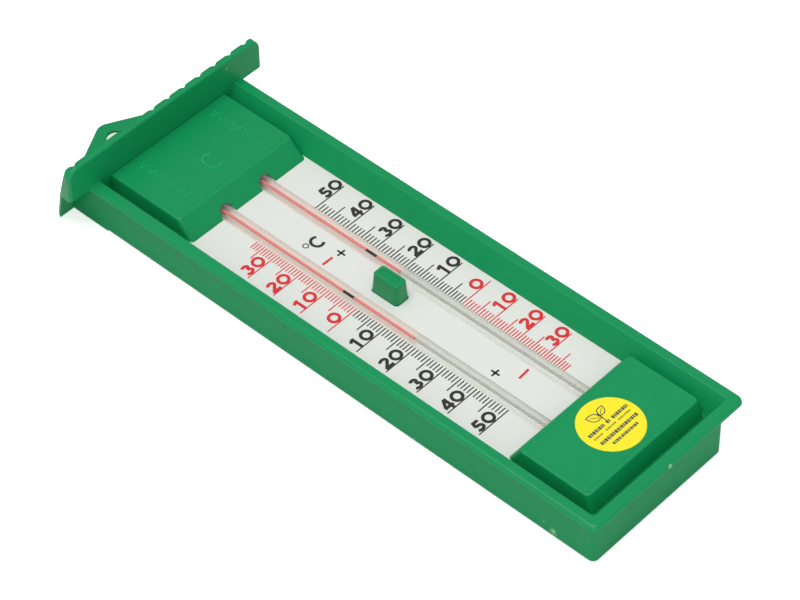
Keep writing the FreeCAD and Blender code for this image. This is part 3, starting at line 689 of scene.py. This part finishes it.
# ---------------------------------------------------------------- round sticker
def round_sticker():
    """Thin disc with a rolled edge that bows up a little towards its rim."""
    bm = bmesh.new()
    thick = STICKER_OUT - COVER_OUT
    centre_height = 0.85
    profile = [(0.55, 0.86), (0.9, 0.93), (0.975, 1.0), (0.993, 0.95), (1.0, 0.72), (1.0, 0.0)]
    sides = 96
    rings = []
    for share, height in profile:
        points = circle(STICKER_X, STICKER_UP, STICKER_R * share, sides)
        rings.append([bm.verts.new(place(x, up, COVER_OUT + thick * height)) for x, up in points])
    crown = bm.verts.new(place(STICKER_X, STICKER_UP, COVER_OUT + thick * centre_height))
    for k in range(sides):
        bm.faces.new((crown, rings[0][k], rings[0][(k + 1) % sides]))
    skin(bm, rings)
    bm.faces.new(rings[-1])
    piece = finish_mesh("round_sticker", bm, MATERIALS["label_paper"], "case")
    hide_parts("round_label")


# Rows of print, from the sticker's middle: how far up, how high, and each word's start and end.
PRINT_ROWS = (
    (1.3, 1.15, ((-7.8, -1.5), (-0.4, 0.9), (2.0, 8.3))),
    (-0.5, 0.55, ((-7.6, -3.8), (-2.7, 1.4), (2.6, 8.1))),
    (-2.8, 1.15, ((-7.4, 8.0),)),
    (-5.1, 0.95, ((-5.0, 5.6),)),
)
BLOCK_WIDTHS = (0.62, 0.42, 0.75, 0.55, 0.30)  # shares of the row's height, used in turn
BLOCK_GAP = 0.24
LEAST_BLOCK = 0.3          # a word ends when less than this is left of it


def leaf_outline(root, along):
    """Closed outline of a leaf that is widest half way along."""
    bulge = Vector((-along.y, along.x)) * 0.30
    steps = [i / 10 for i in range(10)]
    one_side = [root + along * t + bulge * math.sin(math.pi * t) for t in steps]
    other_side = [root + along * (1 - t) - bulge * math.sin(math.pi * (1 - t)) for t in steps]
    return one_side + other_side


def sticker_print():
    """Generic print: a two-leaved sprig and rows of plain blocks in place of words."""
    bm = bmesh.new()
    low, high = STICKER_OUT - 0.02, STICKER_OUT + 0.02
    middle_point = Vector((STICKER_X, STICKER_UP))
    stem = [middle_point + Vector(step) for step in ((0.2, 2.0), (0.3, 4.2), (0.2, 5.4))]
    add_stroke(bm, stem, 0.3, low, high)
    for root_step, tip_step in (((0.25, 3.4), (-3.4, 6.3)), ((0.25, 4.2), (3.4, 6.3))):
        root = middle_point + Vector(root_step)
        along = middle_point + Vector(tip_step) - root
        add_stroke(bm, leaf_outline(root, along), 0.3, low, high, True)
        add_stroke(bm, [root + along * 0.15, root + along * 0.75], 0.2, low, high)
    for row, height, words in PRINT_ROWS:
        for start, end in words:
            x = start
            step = 0
            while x < end - LEAST_BLOCK:
                wide = height * BLOCK_WIDTHS[step % len(BLOCK_WIDTHS)]
                block = [(x, row), (min(x + wide, end), row)]
                add_stroke(bm, [middle_point + Vector(p) for p in block], height, low, high)
                x += wide + BLOCK_GAP
                step += 1
    finish_mesh("sticker_print", bm, MATERIALS["label_ink"], "case")


round_sticker()
sticker_print()


# ---------------------------------------------------------------- glass and liquids
BORE_SIDES = 24
BLEND_CLEAR = 3.0          # a length of a column next to its meniscus, in mm


def limb_path(side, start_up, end_up, step):
    """Points along the limb on one side, about a step apart."""
    count = max(1, round(abs(end_up - start_up) / step))
    return [(side * TUBE_X, start_up + (end_up - start_up) * i / count) for i in range(count + 1)]


def bulb_profile(radius, neck_r, inset):
    """(up, radius) stations of a bulb from its round top down to its neck."""
    top = BULB_TOP_UP - inset
    stations = [(top - radius * (1 - math.cos(math.radians(a))), radius * math.sin(math.radians(a)))
                for a in (2, 10, 20, 30, 45, 60, 75, 90)]
    for i in range(9):
        t = i / 8
        ease = t * t * (3 - 2 * t)
        stations.append((BULB_SHOULDER_UP + (BULB_NECK_UP - BULB_SHOULDER_UP) * t,
                         radius + (neck_r - radius) * ease))
    return stations


def u_tube(bulb_r, tube_r, inset):
    """Path and radii of the whole tube: left bulb, limb, bend, limb, right bulb."""
    stations = bulb_profile(bulb_r, tube_r, inset)
    left = [((-TUBE_X, up), r) for up, r in stations]
    left += [(p, tube_r) for p in limb_path(-1, BULB_NECK_UP - 1, BEND_UP, 6.0)]
    bend = [(p, tube_r) for p in arc(0, BEND_UP, TUBE_X, TUBE_X, 180, 360, 32)[1:-1]]
    right = [((-p[0], p[1]), r) for p, r in reversed(left)]
    whole = left + bend + right
    return [p for p, r in whole], [r for p, r in whole]


def glass_tube():
    """The whole tube with its bore and the hollows of its bulbs."""
    bm = bmesh.new()
    add_tube(bm, *u_tube(BULB_R, TUBE_R, 0.0), segments=64)
    inside = add_tube(bm, *u_tube(BULB_R - BULB_WALL, BORE_R, BULB_WALL), segments=BORE_SIDES, inward=True)
    for face in inside:
        face.material_index = 1
    mesh = smooth_mesh("glass_u_tube", bm, MATERIALS["clear_glass"], MATERIALS["bore_wall"])
    piece = add_object("glass_u_tube", mesh)
    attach(piece, "case")
    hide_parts("glass_tube")


def in_the_bore(name, stations, slot, body=None):
    """Round piece through ((across, up), radius) stations; without a body it rides on none."""
    bm = bmesh.new()
    add_tube(bm, [p for p, r in stations], [r for p, r in stations], segments=BORE_SIDES)
    return finish_mesh(name, bm, MATERIALS[slot], body)


def stretch(piece, title, side, moving_up, still_up):
    """Bakes the piece's place into its mesh."""
    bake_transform(piece)


def red_column(title, side, meniscus_up, fill_up):
    """Red spirit from its round foot on the meniscus through the limb into the bulb."""
    radius = BULB_R - BULB_WALL - BORE_GAP
    bulb = [(up, r) for up, r in bulb_profile(radius, LIQUID_R, BULB_WALL + BORE_GAP) if up < fill_up - 0.01]
    surface_r = bulb[0][1] if bulb[0][1] > 1.0 else LIQUID_R     # a full bulb ends in a small flat
    bulb.insert(0, (fill_up, surface_r))
    stations = [((side * TUBE_X, up), r) for up, r in bulb]
    stations += [(p, LIQUID_R) for p in limb_path(side, BULB_NECK_UP - 1, meniscus_up + 0.4, 1.5)]
    stations += [((side * TUBE_X, meniscus_up + 0.12), LIQUID_R * 0.9)]
    stations += [((side * TUBE_X, meniscus_up), LIQUID_R * 0.5)]
    piece = in_the_bore(title + "_red_column", stations, "red_spirit")
    stretch(piece, title, side, meniscus_up + BLEND_CLEAR, BULB_NECK_UP - 2)
    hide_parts(title + "_red_thread", title + "_bulb_spirit")


def clear_column(title, side, meniscus_up):
    """Clear liquid from the meniscus down to the bend."""
    stations = [((side * TUBE_X, meniscus_up - 0.02), LIQUID_R * 0.9)]
    stations += [(p, LIQUID_R) for p in limb_path(side, meniscus_up - 0.3, BEND_UP, 2.0)]
    piece = in_the_bore(title + "_clear_column", stations, "clear_liquid")
    stretch(piece, title, side, meniscus_up - BLEND_CLEAR, BEND_UP)


def bend_liquid():
    """Clear liquid in the bend, which always stays full."""
    stations = [(p, LIQUID_R) for p in arc(0, BEND_UP, TUBE_X, TUBE_X, 181, 359, 40)]
    piece = in_the_bore("bend_liquid", stations, "clear_liquid", "case")
    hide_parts("clear_liquid")


def marker(title, side, ends):
    """Pin in its sleeve, a hair thicker than the liquid, with broken edges at its ends."""
    low, high = ends
    radius = LIQUID_R + 0.006
    profile = ((low, 0.8), (low + 0.08, 1.0), (high - 0.08, 1.0), (high, 0.8))
    stations = [((side * TUBE_X, up), radius * share) for up, share in profile]
    piece = in_the_bore(title + "_marker_pin", stations, "black_marker", title + "_index")
    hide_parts(title + "_marker")


glass_tube()
red_column("max", 1, MAX_MENISCUS_UP, MAX_FILL_UP)
red_column("min", -1, MIN_MENISCUS_UP, MIN_FILL_UP)
clear_column("max", 1, MAX_MENISCUS_UP)
clear_column("min", -1, MIN_MENISCUS_UP)
bend_liquid()
marker("max", 1, MAX_MARKER_UP)
marker("min", -1, MIN_MARKER_UP)


# ---------------------------------------------------------------- hidden springs and pads
COIL_WIRE_R = 0.25
COIL_R = 2.7
COIL_TURNS = 4.5
COIL_STEPS_A_TURN = 28
COIL_DEAD_SHARE = 0.11     # share of the wire that lies flat at each end


def coil(node):
    """Return spring with closed end turns."""
    x, up = middle(node, "x"), middle(node, "z")
    inner, outer = levels(node)
    low, high = inner + COIL_WIRE_R, outer - COIL_WIRE_R
    steps = int(COIL_TURNS * COIL_STEPS_A_TURN)
    sides = 10
    bm = bmesh.new()
    rings = []
    for i in range(steps + 1):
        t = i / steps
        rise = min(1.0, max(0.0, (t - COIL_DEAD_SHARE) / (1 - 2 * COIL_DEAD_SHARE)))
        out = low + (high - low) * rise
        a = 2 * math.pi * COIL_TURNS * t
        away = Vector((math.cos(a), math.sin(a)))
        centre = Vector((x, up)) + away * COIL_R
        ring = []
        for k in range(sides):
            b = 2 * math.pi * k / sides
            q = centre + away * COIL_WIRE_R * math.cos(b)
            ring.append(bm.verts.new(place(q.x, q.y, out + COIL_WIRE_R * math.sin(b))))
        rings.append(ring)
    bm.faces.new(rings[0])
    bm.faces.new(rings[-1])
    skin(bm, rings)
    piece = finish_mesh(node + "_coil", bm, MATERIALS["spring_steel"], "case", 60.0)
    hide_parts(node)
    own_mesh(piece)


for name in ("upper_return_spring", "lower_return_spring"):
    coil(name)


def foam_pad(node):
    """Soft pad: the node's solid with rounded, slightly uneven edges."""
    mesh = NODES[node].data.copy()
    mesh.name = node + "_foam"
    piece = add_object(node + "_foam", mesh)
    remesh = piece.modifiers.new("voxels", "REMESH")
    remesh.mode = "VOXEL"
    remesh.voxel_size = 0.45 * MM
    smooth = piece.modifiers.new("rounding", "SMOOTH")
    smooth.iterations = 6
    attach(piece, "case")
    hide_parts(node)


for name in ("bulb_pad", "bend_pad"):
    foam_pad(name)


# ---------------------------------------------------------------- floor, light, camera
def floor():
    """Pale table top just behind the back plane; it is clear when looked at from behind.

    It glows a little for the camera and for diffuse rays, and is darker in reflections, so that it
    shows as the plain pale ground of a product photograph.
    """
    s = Shader("pale_floor")
    tone = s.mix(s.noise(3.0, 3.0), rgb(0.90, 0.90, 0.90), rgb(0.93, 0.93, 0.93))
    path = s.node("LightPath")
    seen = s.mix(path.outputs["Is Glossy Ray"], tone, rgb(0.55, 0.55, 0.55))
    table = s.node("BsdfDiffuse", {"Color": seen, "Roughness": 0.5})
    lift = s.math("ADD", s.math("MULTIPLY", path.outputs["Is Camera Ray"], 0.6),
                  s.math("MULTIPLY", path.outputs["Is Diffuse Ray"], 0.25))
    glow = s.node("Emission", {"Color": rgb(1, 1, 1), "Strength": lift})
    lit = s.node("AddShader", {0: table, 1: glow})
    behind = s.node("NewGeometry").outputs["Backfacing"]
    s.surface(s.node("MixShader", {0: behind, 1: lit, 2: s.node("BsdfTransparent")}))
    half = 4.0
    y = (BACK_Y + 0.3) * MM
    corners = [(-half, -half), (half, -half), (half, half), (-half, half)]
    bm = bmesh.new()
    bm.faces.new([bm.verts.new((x, y, z)) for x, z in corners])
    add_object("floor", smooth_mesh("floor", bm, s.material))


def area_light(name, where, target, side, watts):
    """Square light that shines from where to target; places and side in metres."""
    data = bpy.data.lights.new(name, "AREA")
    data.shape = "SQUARE"
    data.size = side
    data.energy = watts
    light = add_object(name, data)
    light.location = where
    light.rotation_mode = "QUATERNION"
    light.rotation_quaternion = (Vector(target) - Vector(where)).to_track_quat("-Z", "Y")
    light.visible_camera = False


def white_world(strength, in_gloss):
    """Even white surroundings, dimmer in reflections; the camera sees plain white."""
    world = bpy.data.worlds.new("studio")
    world.use_nodes = True
    n = Nodes(world.node_tree)
    path = n.node("LightPath")
    level = n.mix(path.outputs["Is Glossy Ray"], strength, in_gloss, kind="FLOAT")
    level = n.mix(path.outputs["Is Camera Ray"], level, 1.0, kind="FLOAT")
    background = world.node_tree.nodes["Background"]
    n.feed(background.inputs["Color"], rgb(1, 1, 1))
    n.feed(background.inputs["Strength"], level)
    bpy.context.scene.world = world


def camera(eye, target, roll_deg, lens):
    """Long lens above the lying thermometer; roll turns the picture about the line of sight."""
    forward = (target - eye).normalized()
    away_from_wall = Vector((0, -1, 0))
    right = forward.cross(away_from_wall).normalized()
    above = right.cross(forward)
    roll = Matrix.Rotation(math.radians(roll_deg), 3, "Z")
    turn = Matrix((right, above, -forward)).transposed() @ roll
    data = bpy.data.cameras.new("camera")
    data.lens = lens
    data.sensor_width = 36.0
    data.clip_start, data.clip_end = 0.05, 20.0
    seen = add_object("camera", data)
    seen.matrix_world = Matrix.Translation(eye) @ turn.to_4x4()
    bpy.context.scene.camera = seen


floor()
white_world(0.52, 0.30)
DIAL = place(0, -115, 15)
area_light("overhead", (-0.35, -1.6, -0.1), DIAL, 1.1, 15.0)
area_light("front_fill", (-1.2, -0.9, -1.3), DIAL, 1.2, 4.4)
area_light("back_fill", (0.8, 1.6, 0.8), DIAL, 1.4, 18.0)
camera(place(-474.3, -565.8, 703.1), place(0, -119.2, FACE_OUT), -0.86, 147.8)
bpy.context.scene.view_settings.view_transform = "Standard"
